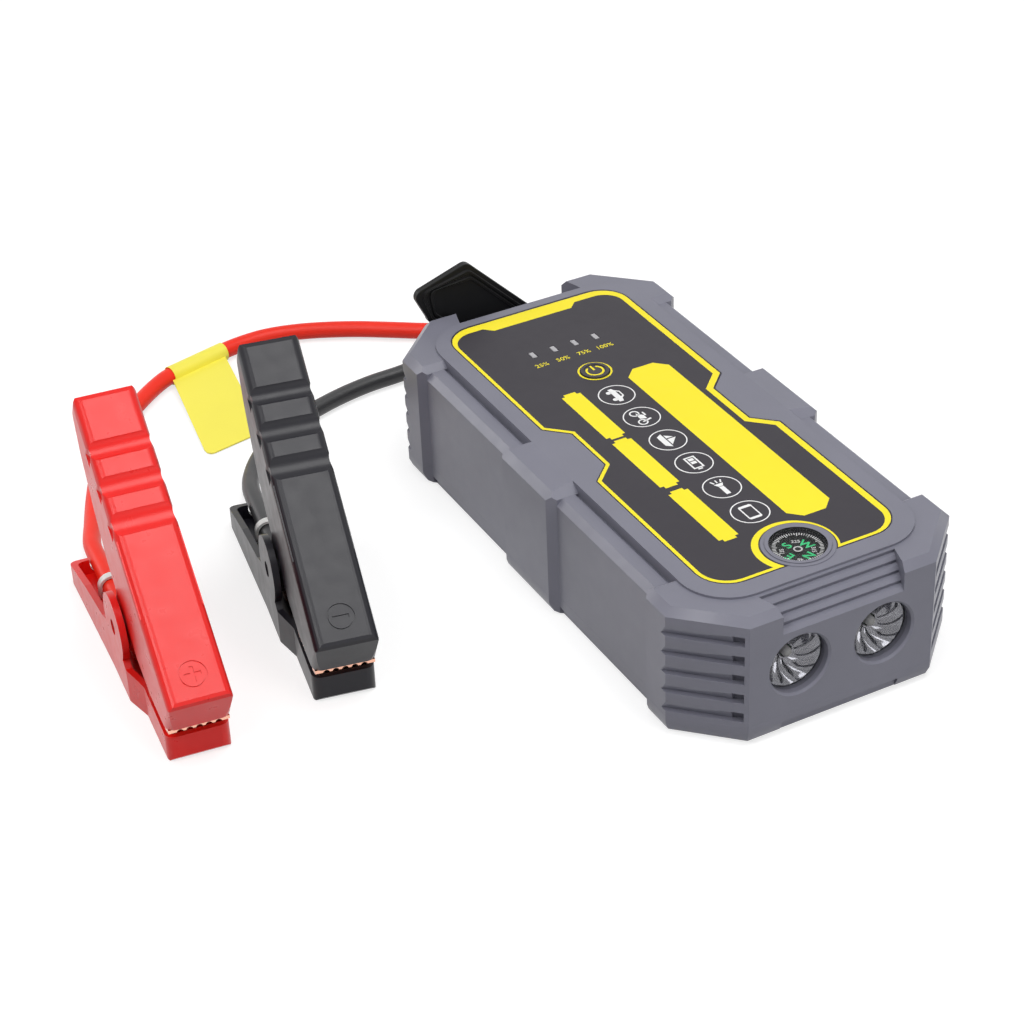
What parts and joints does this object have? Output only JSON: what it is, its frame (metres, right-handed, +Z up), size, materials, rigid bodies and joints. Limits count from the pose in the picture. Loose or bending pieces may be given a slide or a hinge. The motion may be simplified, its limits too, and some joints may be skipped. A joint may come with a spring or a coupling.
{
  "type": "jump starter pack",
  "caption": "Portable jump starter: bumpered case with lamps, compass, power button and sockets under a rubber cover, and a plug-in lead with red and black sprung clamps.",
  "frame": {"origin": "middle of the pack's underside, on the floor", "axes": "+Z up, lamps look along -Y, sockets along +Y, clamps lie on the -X side"},
  "size_m": [0.238, 0.3019, 0.0853],
  "materials": {
    "case": "fine satin texture",
    "overlay": "satin printed sheet",
    "button": "satin",
    "clear": "polished clear plastic",
    "reflector": "mirror, faceted",
    "led": "phosphor dome",
    "dial": "printed dial",
    "bezel": "gloss black",
    "brass": "turned",
    "board": "solder mask",
    "cell": "laminated foil",
    "chip": "moulded",
    "contact": "plated",
    "shell_metal": "pressed sheet",
    "socket_blue": "moulded",
    "rubber_black": "matt",
    "red_plastic": "satin",
    "black_plastic": "satin",
    "red_cable": "soft silicone",
    "black_cable": "soft silicone",
    "tag": "film",
    "copper": "copper plated, stamped",
    "steel": "zinc plated",
    "white_plastic": "moulded"
  },
  "bodies": {
    "pack": {"top_case": "case", "base_cover": "case", "label_panel": "overlay", "button_switch": "chip", "led_windows": "clear", "status_leds": "white_plastic", "compass_housing": "bezel", "compass_pivot": "brass", "compass_lens": "clear", "lamp_lens_left": "clear", "lamp_lens_right": "clear", "lamp_reflector_left": "reflector", "lamp_reflector_right": "reflector", "lamp_led_left": "led", "lamp_led_right": "led", "lamp_board": "board", "main_board": "board", "cell_1": "cell", "cell_2": "cell", "cell_3": "cell", "cell_links": "steel", "output_socket": "socket_blue", "output_contacts": "contact", "usb_socket_upper": "shell_metal", "usb_socket_lower": "shell_metal", "charge_socket": "chip", "cover_pin": "steel", "case_screws": "steel", "lead_plug": "socket_blue", "plug_contacts": "contact", "plug_boot": "rubber_black", "red_cable": "red_cable", "black_cable": "black_cable", "cable_tag": "tag", "red_lower_shell": "red_plastic", "red_lower_jaw": "copper", "red_rivet": "steel", "red_spring": "steel", "red_cable_clip": "white_plastic", "red_lug": "steel", "black_lower_shell": "black_plastic", "black_lower_jaw": "copper", "black_rivet": "steel", "black_spring": "steel", "black_cable_clip": "white_plastic", "black_lug": "steel"},
    "power_button": {"power_button": "button"},
    "compass_card": {"compass_card": "dial"},
    "port_cover": {"port_cover": "rubber_black"},
    "red_upper": {"red_upper_shell": "red_plastic", "red_upper_jaw": "copper", "red_spring_leg": "steel"},
    "black_upper": {"black_upper_shell": "black_plastic", "black_upper_jaw": "copper", "black_spring_leg": "steel"}
  },
  "joints": [
    {"name": "power_button_press", "type": "slide", "parent": "pack", "child": "power_button", "axis": [0, 0, -1], "range_m": [0, 0.0006], "stiffness_N_per_m": 800, "springref_m": -0.0004},
    {"name": "compass_turn", "type": "hinge", "parent": "pack", "child": "compass_card", "pos_m": [0, -0.08, 0.043], "axis": [0, 0, 1], "continuous": true},
    {"name": "port_cover_turn", "type": "hinge", "parent": "pack", "child": "port_cover", "pos_m": [0.0105, 0.1084, 0.0195], "axis": [0, 1, 0], "range_deg": [-45, 30]},
    {"name": "red_clamp_open", "type": "hinge", "parent": "pack", "child": "red_upper", "pos_m": [-0.17075, 0.0228, 0.0205], "axis": [-0.9934, 0.1149, 0], "range_deg": [0, 28], "stiffness_Nm_per_rad": 0.5, "springref_deg": -34.38},
    {"name": "black_clamp_open", "type": "hinge", "parent": "pack", "child": "black_upper", "pos_m": [-0.11705, 0.02565, 0.0205], "axis": [-0.981, 0.1942, 0], "range_deg": [0, 28], "stiffness_Nm_per_rad": 0.5, "springref_deg": -34.38}
  ]
}
